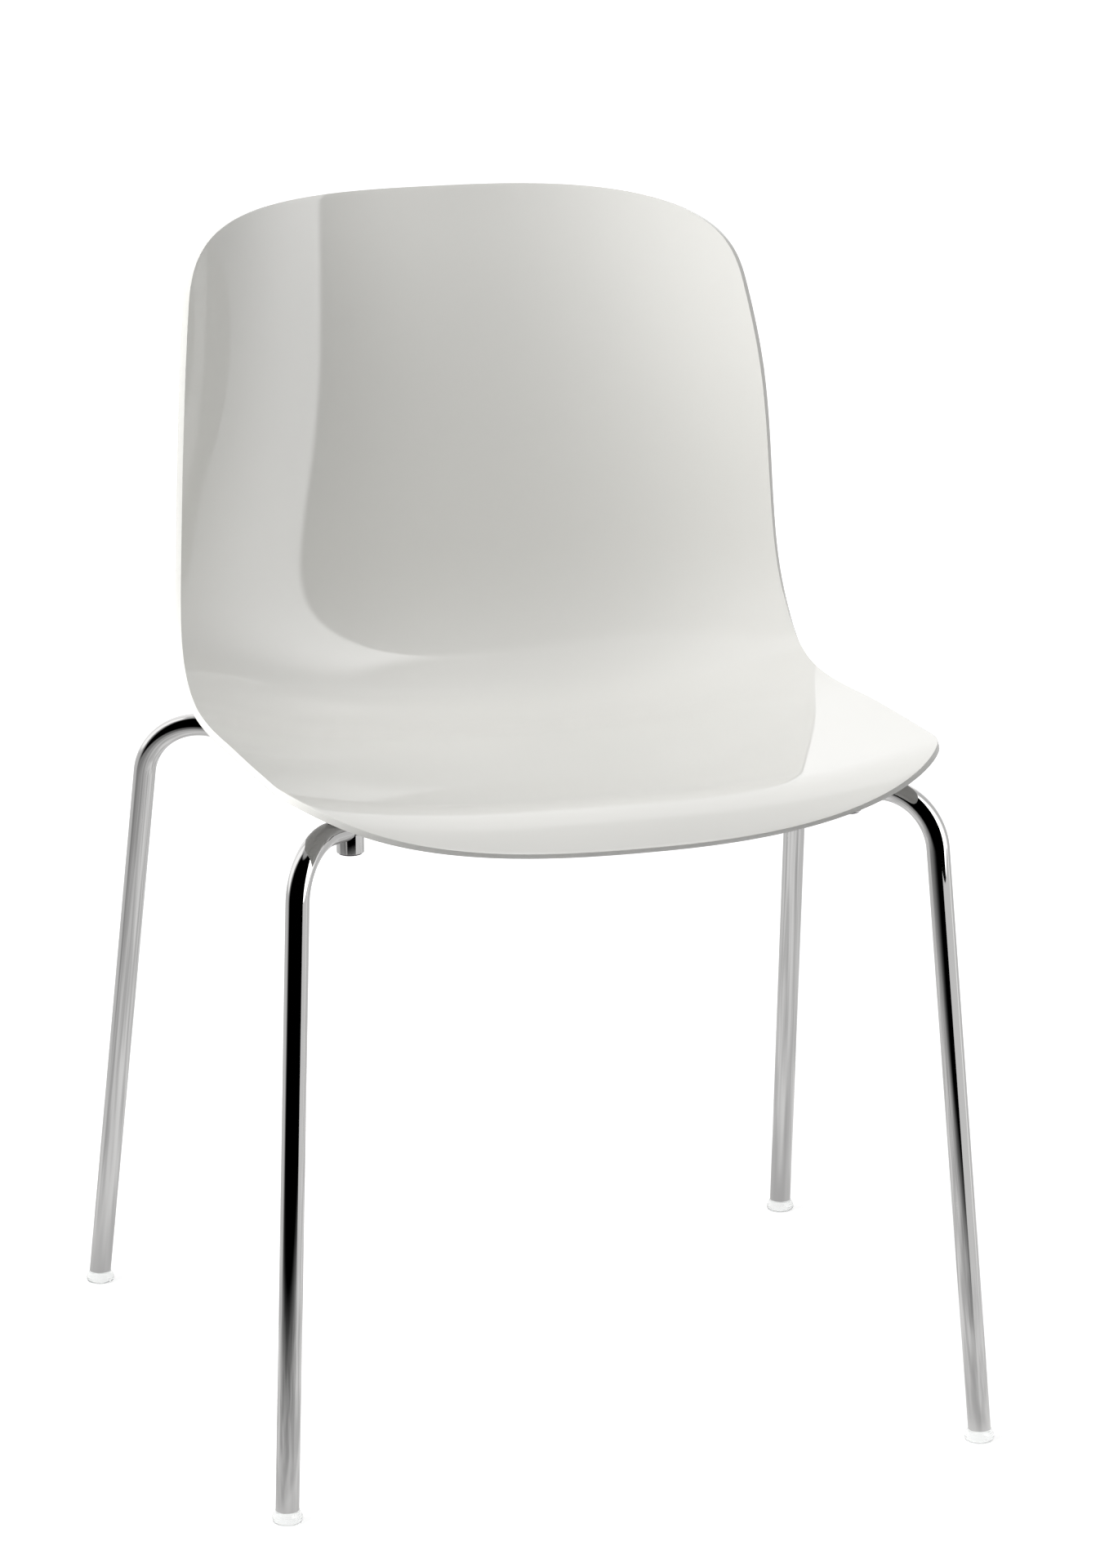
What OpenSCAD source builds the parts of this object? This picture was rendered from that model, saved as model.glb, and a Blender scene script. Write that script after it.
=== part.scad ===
// Stacking chair: a one-piece moulded shell on four bent steel tube legs.
// Millimetres, +Z up, floor at z = 0. The sitter faces -Y. The origin lies
// on the floor, midway between the feet.

/* [Shell section along the middle] */
// forward reach of the front lip, from the origin
lip_reach = 259.3; // [254:0.1:264]
// height of the front lip
lip_z = 435.4; // [430:0.2:440]
// downward slope of the front lip, degrees
lip_slope = 41; // [30:1:48]
// run of the rounded front lip
lip_run = 67.5; // [60:0.5:75]
// run of the flat part of the seat
seat_run = 228; // [222:1:236]
// fall of the seat just behind the lip, degrees
seat_fall_front = 3.1; // [2:0.1:4]
// fall of the seat in front of the bend, degrees
seat_fall_rear = 3.6; // [2:0.1:5]
// run of the bend between seat and back
bend_run = 216; // [205:1:225]
// lean of the back at its foot, degrees
back_lean_low = 10.2; // [8:0.2:14]
// lean of the back at its top, degrees
back_lean_top = 17.4; // [12:0.2:20]
// run of the back above the bend
back_run = 245; // [230:1:260]
// wall thickness of the shell
shell_t = 5; // [4:0.5:6]

/* [Shell outline and dish] */
// half width at the front lip
half_w_lip = 221.8; // [215:0.2:225]
// half width in the middle of the seat
half_w_seat = 223.8; // [218:0.2:228]
// half width at the foot of the back
half_w_foot = 214.4; // [208:0.2:220]
// half width in the middle of the back
half_w_back = 208; // [200:0.5:214]
// half width at the top edge, before the corners
half_w_top = 186.2; // [175:0.2:195]
// rise of the side edges at the front lip
rise_lip = 19.4; // [15:0.2:25]
// rise of the side edges in the middle of the seat
rise_seat = 25.3; // [20:0.2:30]
// rise of the side edges where the bend begins
rise_bend_low = 29.6; // [25:0.2:34]
// rise of the side edges in the middle of the bend
rise_bend = 50.7; // [44:0.2:56]
// rise of the side edges at the foot of the back
rise_foot = 59.6; // [54:0.2:66]
// forward curl of the side edges in the middle of the back
rise_back = 74.8; // [66:0.2:82]
// forward curl of the side edges at the top
rise_top = 66; // [56:0.5:74]
// power of the dish curve: higher keeps the middle flatter
dish_power = 3; // [2.5:0.1:3.4]
// depth of the rounded top corners
top_corner = 89; // [80:1:100]
// power of the top corner curve
top_power = 2.8; // [2.4:0.1:3.2]
// depth of the rounded front corners
lip_corner = 71.5; // [62:0.5:80]
// power of the front corner curve
lip_power = 2.3; // [2:0.1:2.8]

/* [Legs] */
// outside diameter of the leg tube
tube_d = 15.5; // [15:0.5:16]
// wall of the leg tube
tube_wall = 2; // [1.5:0.5:2.5]
// half spacing of the front feet
front_foot_x = 239.8; // [236:0.2:244]
// forward reach of the front feet
front_foot_y = 247.5; // [243:0.1:251]
// half spacing of the rear feet
rear_foot_x = 264.2; // [260:0.2:268]
// rearward reach of the rear feet
rear_foot_y = 251.3; // [247:0.1:255]
// inward lean of every leg, mm per metre of height
lean_in = 56.5; // [50:0.5:62]
// rearward lean of the front legs, mm per metre of height
front_rake = 68.5; // [60:0.5:76]
// forward lean of the rear legs, mm per metre of height
rear_rake = 272; // [262:1:280]
// height where the front leg and its seat arm would meet
front_knee_z = 446; // [442:0.5:450]
// height where the rear leg and its seat arm would meet
rear_knee_z = 452.5; // [448:0.5:456]
// bend radius of the front legs, at the tube axis
front_bend_r = 40; // [36:1:46]
// bend radius of the rear legs, at the tube axis
rear_bend_r = 46; // [40:1:50]

/* [Hub and fixings] */
// height of the tube axes at the hub
hub_z = 426; // [422:0.5:428]
// place of the hub in front of the origin
hub_y = 5; // [0:1:12]
// outside diameter of the hub
hub_d = 44; // [40:1:50]
// height of the hub
hub_h = 20; // [18:1:21]
// bore through the hub
hub_bore_d = 26; // [20:1:30]
// distance of the front fixings from the middle line
front_fix_x = 170; // [160:1:172]
// distance of the rear fixings from the middle line
rear_fix_x = 170; // [160:1:176]
// diameter of the saddle blocks between tube and shell
saddle_d = 26; // [24:1:28]
// diameter of the bright cups under the tubes
cup_d = 18; // [17.5:0.5:19]
// drop of the cup rim below the tube axis
cup_drop = 15.9; // [15.6:0.1:18]
// drop of the cup's upper edge below the tube axis
cup_top = 3; // [2:0.5:4]
// wall of the cups
cup_wall = 1; // [0.8:0.2:1.2]
// diameter of the screw shanks
screw_d = 5; // [4.5:0.5:5]

/* [Glides] */
// height of the clear glides under the tube ends
glide_h = 8.4; // [8:0.1:9]
// largest diameter of the glides
glide_d = 20.5; // [19:0.5:22]

/* [Hidden] */
$fn = 48;
// stations along the middle section
run_all = lip_run + seat_run + bend_run + back_run;
st_n = 240;
st_d = run_all / st_n;
knee_a = lip_run + seat_run;
knee_b = knee_a + bend_run;

function clamp01(q) = q < 0 ? 0 : (q > 1 ? 1 : q);
function soft(q) = let(c = clamp01(q)) c * c * (3 - 2 * c);
function mix(a, b, q) = a + (b - a) * q;

// slope of the middle section at run v, degrees
function slope(v) =
    v < lip_run ? mix(lip_slope, -seat_fall_front, soft(v / lip_run))
    : v < knee_a ? mix(-seat_fall_front, -seat_fall_rear, (v - lip_run) / seat_run)
    : v < knee_b ? mix(-seat_fall_rear, 90 - back_lean_low, soft((v - knee_a) / bend_run))
    : mix(90 - back_lean_low, 90 - back_lean_top, clamp01((v - knee_b) / back_run));

mid_y = [for (i = 0, y = -lip_reach; i <= st_n;
    y = y + st_d * cos(slope((i + 0.5) * st_d)), i = i + 1) [i * st_d, y]];
mid_z = [for (i = 0, z = lip_z; i <= st_n;
    z = z + st_d * sin(slope((i + 0.5) * st_d)), i = i + 1) [i * st_d, z]];

// stations that carry a half width and a side rise
key_v = [0, lip_run + seat_run / 2, knee_a, knee_a + bend_run / 2, knee_b,
    knee_b + 0.4 * back_run, run_all];
key_w = [half_w_lip, half_w_seat, half_w_seat - 2, half_w_seat - 4.4, half_w_foot,
    half_w_back, half_w_top];
key_h = [rise_lip, rise_seat, rise_bend_low, rise_bend, rise_foot, rise_back, rise_top];

function step_of(v, i = 0) = (i >= len(key_v) - 2 || v < key_v[i + 1]) ? i : step_of(v, i + 1);
function chord(k, i) = (k[i + 1] - k[i]) / (key_v[i + 1] - key_v[i]);
function lead(k, i) =
    i == 0 ? chord(k, 0)
    : i == len(key_v) - 1 ? chord(k, i - 1)
    : let(a = key_v[i] - key_v[i - 1], b = key_v[i + 1] - key_v[i])
        (chord(k, i) * a + chord(k, i - 1) * b) / (a + b);
function along(k, v) =
    let(i = step_of(v), h = key_v[i + 1] - key_v[i], t = clamp01((v - key_v[i]) / h))
    (2 * t * t * t - 3 * t * t + 1) * k[i] + (t * t * t - 2 * t * t + t) * h * lead(k, i)
    + (3 * t * t - 2 * t * t * t) * k[i + 1] + (t * t * t - t * t) * h * lead(k, i + 1);

// point of the sitter's side at width x and run v
function top_at(x, v) =
    let(a = slope(v), h = along(key_h, v) * pow(abs(x) / along(key_w, v), dish_power))
    [x, lookup(v, mid_y) - sin(a) * h, lookup(v, mid_z) + cos(a) * h];
function unit(p) = p / norm(p);
function face_at(x, v) =
    let(e = 1.5, a = max(v - e, 0), b = min(v + e, run_all))
    unit(cross(top_at(x + e, v) - top_at(x - e, v), top_at(x, b) - top_at(x, a)));
function under_at(x, v) = top_at(x, v) - shell_t * face_at(x, v);

// run of the front and top edges at relative width s
function run_front(s) = lip_corner * (1 - pow(1 - pow(abs(s), lip_power), 1 / lip_power));
function run_top(s) = run_all - top_corner * (1 - pow(1 - pow(abs(s), top_power), 1 / top_power));

// shell grid
cols = 38;
rows = 48;
grid_s = [for (i = [0:cols]) sin(90 * (2 * i / cols - 1))];
grid_xv = [for (j = [0:rows]) for (i = [0:cols])
    let(s = grid_s[i], v = mix(run_front(s), run_top(s), j / rows)) [along(key_w, v) * s, v]];
pts_top = [for (p = grid_xv) top_at(p[0], p[1])];
pts_under = [for (p = grid_xv) under_at(p[0], p[1])];

// fixing points on the tubes, and the run of the shell above each
front_knee = [front_foot_x - lean_in * front_knee_z / 1000,
    -front_foot_y + front_rake * front_knee_z / 1000, front_knee_z];
rear_knee = [rear_foot_x - lean_in * rear_knee_z / 1000,
    rear_foot_y - rear_rake * rear_knee_z / 1000, rear_knee_z];
hub_at = [0, -hub_y, hub_z];
function on_arm(knee, x) = mix(hub_at, knee, x / knee[0]);
function run_under(x, y, v, n = 0) =
    n > 12 ? v : run_under(x, y, v + (y - under_at(x, v)[1]) * 0.9, n + 1);

// node that is drawn; "all" draws every one

// ---- one-piece seat and back ----
module seat_shell() {
    n = cols + 1;
    m = len(pts_top);
    top_faces = [for (j = [0:rows - 1]) for (i = [0:cols - 1])
        let(a = j * n + i) each [[a, a + n, a + n + 1], [a, a + n + 1, a + 1]]];
    under_faces = [for (f = top_faces) [f[2] + m, f[1] + m, f[0] + m]];
    lip = [for (i = [0:cols - 1]) each [[i + 1, i + 1 + m, i + m], [i + 1, i + m, i]]];
    head = [for (i = [0:cols - 1]) let(a = rows * n + i)
        each [[a, a + m, a + 1 + m], [a, a + 1 + m, a + 1]]];
    left = [for (j = [0:rows - 1]) let(a = j * n)
        each [[a, a + m, a + n + m], [a, a + n + m, a + n]]];
    right = [for (j = [0:rows - 1]) let(a = j * n + cols)
        each [[a + n, a + n + m, a + m], [a + n, a + m, a]]];
    color([0.86, 0.86, 0.84])
        polyhedron(points = concat(pts_top, pts_under),
            faces = concat(top_faces, under_faces, lip, head, left, right), convexity = 8);
}

// ---- bent tube legs ----
// frame whose Y axis is u and whose X axis points from start to end
function frame_of(x, y, at) = let(z = cross(x, y))
    [[x[0], y[0], z[0], at[0]], [x[1], y[1], z[1], at[1]], [x[2], y[2], z[2], at[2]], [0, 0, 0, 1]];

// a bend angle whose sine is a round number, so the straights meet the bend exactly
function round_turn(t) = let(s = round(sin(t) * 1000000) / 1000000)
    t > 90 ? 180 - asin(s) : asin(s);

module ring_2d(turned) {
    rotate(turned)
        difference() {
            circle(d = tube_d);
            circle(d = tube_d - 2 * tube_wall);
        }
}

// tube with one bend, drawn flat: the bend's centre is at the origin
module bent_tube(r, turn, leg_len, arm_len) {
    far = r + tube_d;
    translate([r, 0, 0]) rotate([90, 0, 0]) linear_extrude(leg_len) ring_2d(90);
    difference() {
        rotate([0, 0, 270]) rotate_extrude() translate([r, 0]) ring_2d(90);
        translate([-2 * far, -2 * far, -far]) cube([4 * far, 2 * far, 2 * far]);
        rotate([0, 0, turn]) translate([-2 * far, 0, -far]) cube([4 * far, 2 * far, 2 * far]);
    }
    rotate([0, 0, turn]) translate([r, 0, 0]) rotate([-90, 0, 0])
        linear_extrude(arm_len) ring_2d(-90);
}

module leg(foot, knee, r, side) {
    f = [foot[0] * side, foot[1], foot[2]];
    k = [knee[0] * side, knee[1], knee[2]];
    u = unit(k - f);
    d = unit(hub_at - k);
    turn = round_turn(acos(u * d));
    cut = r * tan(turn / 2);
    m = unit(d - u * (d * u));
    a = k - u * cut;
    fix = on_arm(knee, knee[1] > 0 ? rear_fix_x : front_fix_x);
    color([0.8, 0.8, 0.82])
        difference() {
            multmatrix(frame_of(-m, u, a + m * r))
                bent_tube(r, turn, norm(a - f) + 20, norm(hub_at - k) - cut);
            // level foot
            translate([f[0], f[1], glide_h - 50]) cube([100, 100, 100], center = true);
            // coped end at the hub
            translate([0, -hub_y, hub_z - 40]) cylinder(d = hub_d + 0.1, h = 80);
            // screw holes
            translate([fix[0] * side, fix[1], fix[2] - 30]) cylinder(d = screw_d + 0.6, h = 60);
        }
}

module leg_front_left() {
    leg([front_foot_x, -front_foot_y, 0], front_knee, front_bend_r, -1);
}
module leg_front_right() {
    leg([front_foot_x, -front_foot_y, 0], front_knee, front_bend_r, 1);
}
module leg_rear_left() {
    leg([rear_foot_x, rear_foot_y, 0], rear_knee, rear_bend_r, -1);
}
module leg_rear_right() {
    leg([rear_foot_x, rear_foot_y, 0], rear_knee, rear_bend_r, 1);
}

// ---- hub that the four seat arms are welded to ----
module hub() {
    color([0.62, 0.62, 0.64])
        translate([0, -hub_y, hub_z - hub_h / 2])
            difference() {
                rotate_extrude()
                    polygon([[0, 0], [hub_d / 2 - 1.5, 0], [hub_d / 2, 1.5],
                        [hub_d / 2, hub_h - 1.5], [hub_d / 2 - 1.5, hub_h], [0, hub_h]]);
                translate([0, 0, -1]) cylinder(d = hub_bore_d, h = hub_h + 2);
            }
}

// ---- saddle blocks between each seat arm and the shell ----
module along_arm(knee, side, d) {
    k = [knee[0] * side, knee[1], knee[2]];
    w = unit(hub_at - k);
    flat = unit(cross([0, 0, 1], w));
    multmatrix(frame_of(flat, cross(w, flat), k)) linear_extrude(norm(hub_at - k)) circle(d = d);
}

module saddle(knee, x, side) {
    p = on_arm(knee, x);
    v = run_under(x, p[1], p[1] > 0 ? knee_a + 60 : 110);
    q = under_at(x, v);
    n = face_at(x, v);
    at = [q[0] * side, q[1], q[2]];
    nn = [n[0] * side, n[1], n[2]];
    tx = unit(cross([0, 1, 0], nn));
    color([0.25, 0.25, 0.26])
        difference() {
            translate([p[0] * side, p[1], p[2] + 2]) cylinder(d = saddle_d, h = 60);
            // seat against the shell
            multmatrix(frame_of(tx, cross(nn, tx), at - nn * 0.1))
                translate([-60, -60, 0]) cube([120, 120, 120]);
            // cradle for the tube
            along_arm(knee, side, tube_d + 0.1);
            // socket for the insert
            translate([p[0] * side, p[1], p[2]]) cylinder(d = 7.2, h = 60);
        }
}

module saddle_front_left() {
    saddle(front_knee, front_fix_x, -1);
}
module saddle_front_right() {
    saddle(front_knee, front_fix_x, 1);
}
module saddle_rear_left() {
    saddle(rear_knee, rear_fix_x, -1);
}
module saddle_rear_right() {
    saddle(rear_knee, rear_fix_x, 1);
}

// ---- fasteners at the four fixings ----
module at_fixings() {
    for (side = [-1, 1]) {
        translate([front_fix_x * side, on_arm(front_knee, front_fix_x)[1],
            on_arm(front_knee, front_fix_x)[2]]) children();
        translate([rear_fix_x * side, on_arm(rear_knee, rear_fix_x)[1],
            on_arm(rear_knee, rear_fix_x)[2]]) children();
    }
}

module thread_inserts() {
    color([0.78, 0.62, 0.3])
        at_fixings()
            translate([0, 0, tube_d / 2 + 0.6])
                difference() {
                    cylinder(d = 7.1, h = 6);
                    translate([0, 0, -1]) cylinder(d = screw_d + 0.1, h = 8);
                }
}

module shell_screws() {
    head_z = -tube_d / 2 - 1.6;
    color([0.7, 0.7, 0.72])
        at_fixings()
            difference() {
                translate([0, 0, head_z])
                    rotate_extrude()
                        polygon([[0, -2.6], [2.6, -2.6], [4, -2], [4.6, -1], [4.6, 0],
                            [screw_d / 2, 0], [screw_d / 2, tube_d + 7], [screw_d / 2 - 0.6, tube_d + 7.6],
                            [0, tube_d + 7.6]]);
                translate([0, 0, head_z - 3]) cylinder(d = 3.2, h = 2, $fn = 6);
            }
}

module screw_washers() {
    color([0.72, 0.72, 0.74])
        at_fixings()
            translate([0, 0, -tube_d / 2 - 1.5])
                difference() {
                    cylinder(d = 10, h = 1);
                    translate([0, 0, -1]) cylinder(d = screw_d + 0.4, h = 3);
                }
}

// ---- bright cups over the screw heads, with stacking pads ----
module cup(knee, x, side) {
    p = on_arm(knee, x);
    color([0.82, 0.82, 0.84])
        difference() {
            translate([p[0] * side, p[1], p[2] - cup_drop])
                rotate_extrude()
                    polygon([[cup_d / 2 - cup_wall, 0], [cup_d / 2 - 0.4, 0], [cup_d / 2, 0.4],
                        [cup_d / 2, cup_drop - cup_top], [cup_d / 2 - cup_wall, cup_drop - cup_top]]);
            along_arm(knee, side, tube_d + 0.1);
        }
}

module cup_front_left() {
    cup(front_knee, front_fix_x, -1);
}
module cup_front_right() {
    cup(front_knee, front_fix_x, 1);
}
module cup_rear_left() {
    cup(rear_knee, rear_fix_x, -1);
}
module cup_rear_right() {
    cup(rear_knee, rear_fix_x, 1);
}

module pad(knee, x, side) {
    p = on_arm(knee, x);
    r = cup_d / 2 - cup_wall - 0.05;
    color([0.16, 0.13, 0.15])
        translate([p[0] * side, p[1], p[2] - cup_drop])
            rotate_extrude()
                polygon([[0, -1.2], [r - 1, -1.2], [r, -0.4], [r, 3.4], [0, 3.4]]);
}

module pad_front_left() {
    pad(front_knee, front_fix_x, -1);
}
module pad_front_right() {
    pad(front_knee, front_fix_x, 1);
}
module pad_rear_left() {
    pad(rear_knee, rear_fix_x, -1);
}
module pad_rear_right() {
    pad(rear_knee, rear_fix_x, 1);
}

// ---- clear glides: a level ring under the tube end and a plug inside it ----
module glide(foot, knee, side) {
    f = [foot[0] * side, foot[1], 0];
    k = [knee[0] * side, knee[1], knee[2]];
    u = unit(k - f);
    e = f + u * (glide_h / u[2]);
    flat = unit(cross([0, 0, 1], u));
    r = tube_d / 2;
    g = glide_d / 2;
    color([0.92, 0.92, 0.9, 0.5])
        union() {
            translate([e[0], e[1], 0])
                rotate_extrude()
                    polygon([[0, 0], [g - 1.6, 0], [g - 0.5, 1], [g, 2.6], [g - 0.1, 4.2],
                        [g - 0.9, 5.8], [r + 0.4, 7.2], [r + 0.1, 7.4], [r + 0.1, glide_h], [0, glide_h]]);
            intersection() {
                multmatrix(frame_of(flat, cross(u, flat), f))
                    linear_extrude(glide_h + 22) circle(r = r - tube_wall - 0.05);
                translate([e[0], e[1], glide_h - 1 + 20]) cube([40, 40, 40], center = true);
            }
        }
}

module glide_front_left() {
    glide([front_foot_x, -front_foot_y], front_knee, -1);
}
module glide_front_right() {
    glide([front_foot_x, -front_foot_y], front_knee, 1);
}
module glide_rear_left() {
    glide([rear_foot_x, rear_foot_y], rear_knee, -1);
}
module glide_rear_right() {
    glide([rear_foot_x, rear_foot_y], rear_knee, 1);
}

seat_shell();
leg_front_left();
leg_front_right();
leg_rear_left();
leg_rear_right();
hub();
saddle_front_left();
saddle_front_right();
saddle_rear_left();
saddle_rear_right();
thread_inserts();
shell_screws();
screw_washers();
cup_front_left();
cup_front_right();
cup_rear_left();
cup_rear_right();
pad_front_left();
pad_front_right();
pad_rear_left();
pad_rear_right();
glide_front_left();
glide_front_right();
glide_rear_left();
glide_rear_right();
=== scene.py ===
"""Stacking chair: one moulded seat-and-back shell on four bent chrome legs that meet in a hub."""
import logging
import math
from dataclasses import dataclass, field
from enum import Enum
from typing import Sequence

import bpy
import numpy as np
from mathutils import Matrix, Vector


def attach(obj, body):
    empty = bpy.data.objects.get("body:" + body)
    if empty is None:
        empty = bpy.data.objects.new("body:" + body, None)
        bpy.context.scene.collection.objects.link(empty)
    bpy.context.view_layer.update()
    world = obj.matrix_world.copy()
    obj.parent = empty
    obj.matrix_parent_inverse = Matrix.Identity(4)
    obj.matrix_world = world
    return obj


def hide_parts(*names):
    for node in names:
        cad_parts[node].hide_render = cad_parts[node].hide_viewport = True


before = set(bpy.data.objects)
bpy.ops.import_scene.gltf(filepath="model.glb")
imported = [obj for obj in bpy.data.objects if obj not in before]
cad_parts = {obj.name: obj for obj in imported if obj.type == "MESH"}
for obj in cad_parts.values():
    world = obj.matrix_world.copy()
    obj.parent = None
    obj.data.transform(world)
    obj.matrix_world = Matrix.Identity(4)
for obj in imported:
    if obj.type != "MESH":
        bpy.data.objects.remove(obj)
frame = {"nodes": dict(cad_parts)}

logging.basicConfig(level=logging.INFO, format="%(message)s")
log = logging.getLogger("stacking_chair")

Vec3 = tuple[float, float, float]
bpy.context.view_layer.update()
BODY = "root"


class Slot(Enum):
    """The record's material slots."""

    SHELL = "shell"
    TUBE = "chrome_tube"
    HUB = "hub_steel"
    SADDLE = "saddle_plastic"
    INSERT = "insert_brass"
    FASTENER = "fastener_steel"
    CUP = "chrome_cup"
    PAD = "pad_rubber"
    GLIDE = "glide_clear"


class Corner(Enum):
    """The four legs, each with its side (-1 left) and whether it is at the front."""

    FRONT_LEFT = (-1, True)
    FRONT_RIGHT = (1, True)
    REAR_LEFT = (-1, False)
    REAR_RIGHT = (1, False)

    @property
    def tag(self) -> str:
        """The corner's name as the nodes spell it."""
        return self.name.lower()


# ---------------------------------------------------------------- workshop helpers


def clear_selection() -> None:
    """Leaves edit mode and deselects every object."""
    if bpy.context.object and bpy.context.object.mode != "OBJECT":
        bpy.ops.object.mode_set(mode="OBJECT")
    bpy.ops.object.select_all(action="DESELECT")


def name_new(name: str) -> bpy.types.Object:
    """Names the primitive that was just added.

    Args:
        name: the piece's name.

    Returns:
        The new object.
    """
    piece = bpy.context.object
    piece.name = name
    piece.data.name = name
    return piece


def bake_place() -> None:
    """Moves the active object's place, turn and size into its mesh."""
    bpy.ops.object.transform_apply(location=True, rotation=True, scale=True)


def edit_all() -> None:
    """Opens the active object in edit mode with everything selected."""
    bpy.ops.object.mode_set(mode="EDIT")
    bpy.ops.mesh.select_all(action="SELECT")


def extrude(offset: Sequence[float]) -> None:
    """Extrudes the selection along a world vector.

    Args:
        offset: the move in metres.
    """
    bpy.ops.mesh.extrude_region_move(TRANSFORM_OT_translate={"value": tuple(offset)})


def square_up() -> None:
    """Merges doubles, points the faces outwards and leaves edit mode."""
    bpy.ops.mesh.select_all(action="SELECT")
    bpy.ops.mesh.remove_doubles(threshold=1e-6)
    bpy.ops.mesh.normals_make_consistent(inside=False)
    bpy.ops.object.mode_set(mode="OBJECT")


def pick(piece: bpy.types.Object) -> None:
    """Makes a piece the only selected object, and the active one.

    Args:
        piece: the piece.
    """
    clear_selection()
    piece.select_set(True)
    bpy.context.view_layer.objects.active = piece


def smooth(piece: bpy.types.Object, degrees: float) -> None:
    """Shades a piece smooth, with edges sharper than an angle kept crisp.

    Args:
        piece: the piece.
        degrees: the angle above which an edge stays sharp.
    """
    pick(piece)
    bpy.ops.object.shade_smooth_by_angle(angle=math.radians(degrees))


def apply_modifiers(piece: bpy.types.Object) -> None:
    """Applies every modifier on a piece, in order.

    Args:
        piece: the piece.
    """
    pick(piece)
    for name in [m.name for m in piece.modifiers]:
        bpy.ops.object.modifier_apply(modifier=name)


def add_bevel(piece: bpy.types.Object, width: float) -> None:
    """Adds a rounded bevel to a piece's edges sharper than 50 degrees.

    Args:
        piece: the piece.
        width: the bevel's width in metres.
    """
    bevel = piece.modifiers.new("rounded edges", "BEVEL")
    bevel.width = width
    bevel.segments = 3
    bevel.limit_method = "ANGLE"
    bevel.angle_limit = math.radians(50)
    bevel.use_clamp_overlap = True


def add_wall(piece: bpy.types.Object, thickness: float) -> None:
    """Gives a surface a wall of one thickness behind its faces.

    Args:
        piece: the piece.
        thickness: the wall in metres.
    """
    wall = piece.modifiers.new("wall", "SOLIDIFY")
    wall.thickness = thickness
    wall.offset = -1
    wall.use_even_offset = True
    wall.use_rim = True


def lathe(name: str, profile: Sequence[tuple[float, float]], centre: Vec3,
          sides: int) -> bpy.types.Object:
    """Turns a closed outline about a level circle's axis, by extruding and sizing a ring.

    Args:
        name: the piece's name.
        profile: (radius, height) pairs from the lower middle outwards and up, in metres.
        centre: the point of the axis at height 0.
        sides: faces round the piece.

    Returns:
        The piece, closed, with its place in its mesh.
    """
    clear_selection()
    first = profile[0]
    bpy.ops.mesh.primitive_circle_add(
        vertices=sides, radius=first[0], fill_type="NGON",
        location=(centre[0], centre[1], centre[2] + first[1]))
    piece = name_new(name)
    bake_place()
    edit_all()
    radius, height = first
    for r, z in profile[1:]:
        extrude((0, 0, z - height))
        factor = r / radius
        if abs(factor - 1) > 1e-6:
            bpy.ops.transform.resize(
                value=(factor, factor, 1), center_override=(centre[0], centre[1], centre[2] + z))
        radius, height = r, z
    square_up()
    return piece


def dress(piece: bpy.types.Object, material: bpy.types.Material, replaced: str) -> None:
    """Finishes a new piece: material, body, slot and the node it stands for.

    Args:
        piece: the piece.
        material: its finish.
        replaced: the CAD node it replaces.
    """
    piece.data.materials.clear()
    piece.data.materials.append(material)
    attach(piece, BODY)
    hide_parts(replaced)
    log.info("%s: %d faces", piece.name, len(piece.data.polygons))


def unit(v: Vector) -> Vector:
    """The vector at length 1."""
    return v.normalized()


# ---------------------------------------------------------------- finishes


def make_group(name: str, inputs: Sequence[tuple[str, float]], outputs: Sequence[str]) -> bpy.types.NodeTree:
    """Starts a shader node group with named number sockets.

    Args:
        name: the group's name.
        inputs: (name, value) of each input.
        outputs: the name of each output.

    Returns:
        The group, with its Group Input and Group Output nodes.
    """
    tree = bpy.data.node_groups.new(name, "ShaderNodeTree")
    for label, value in inputs:
        socket = tree.interface.new_socket(label, in_out="INPUT", socket_type="NodeSocketFloat")
        socket.default_value = value
    for label in outputs:
        tree.interface.new_socket(label, in_out="OUTPUT", socket_type="NodeSocketFloat")
    tree.nodes.new("NodeGroupInput").name = "in"
    tree.nodes.new("NodeGroupOutput").name = "out"
    return tree


def math_node(tree: bpy.types.NodeTree, operation: str, a: object,
              b: object = None) -> bpy.types.NodeSocket:
    """Adds a Math node.

    Args:
        tree: the node tree.
        operation: the operation's name.
        a: the first value, a number or an output socket.
        b: the second value, if any.

    Returns:
        The result's socket.
    """
    node = tree.nodes.new("ShaderNodeMath")
    node.operation = operation
    for index, value in enumerate((a, b)):
        if value is None:
            continue
        if isinstance(value, (int, float)):
            node.inputs[index].default_value = value
        else:
            tree.links.new(value, node.inputs[index])
    return node.outputs[0]


def remap(tree: bpy.types.NodeTree, value: bpy.types.NodeSocket, low: float, high: float,
          out_low: float, out_high: float) -> bpy.types.NodeSocket:
    """Adds a clamped, eased Map Range node.

    Args:
        tree: the node tree.
        value: the value to map.
        low: the value that gives out_low.
        high: the value that gives out_high.
        out_low: the first result.
        out_high: the last result.

    Returns:
        The result's socket.
    """
    node = tree.nodes.new("ShaderNodeMapRange")
    node.interpolation_type = "SMOOTHSTEP"
    node.clamp = True
    tree.links.new(value, node.inputs["Value"])
    for label, number in (("From Min", low), ("From Max", high), ("To Min", out_low), ("To Max", out_high)):
        node.inputs[label].default_value = number
    return node.outputs["Result"]


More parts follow.
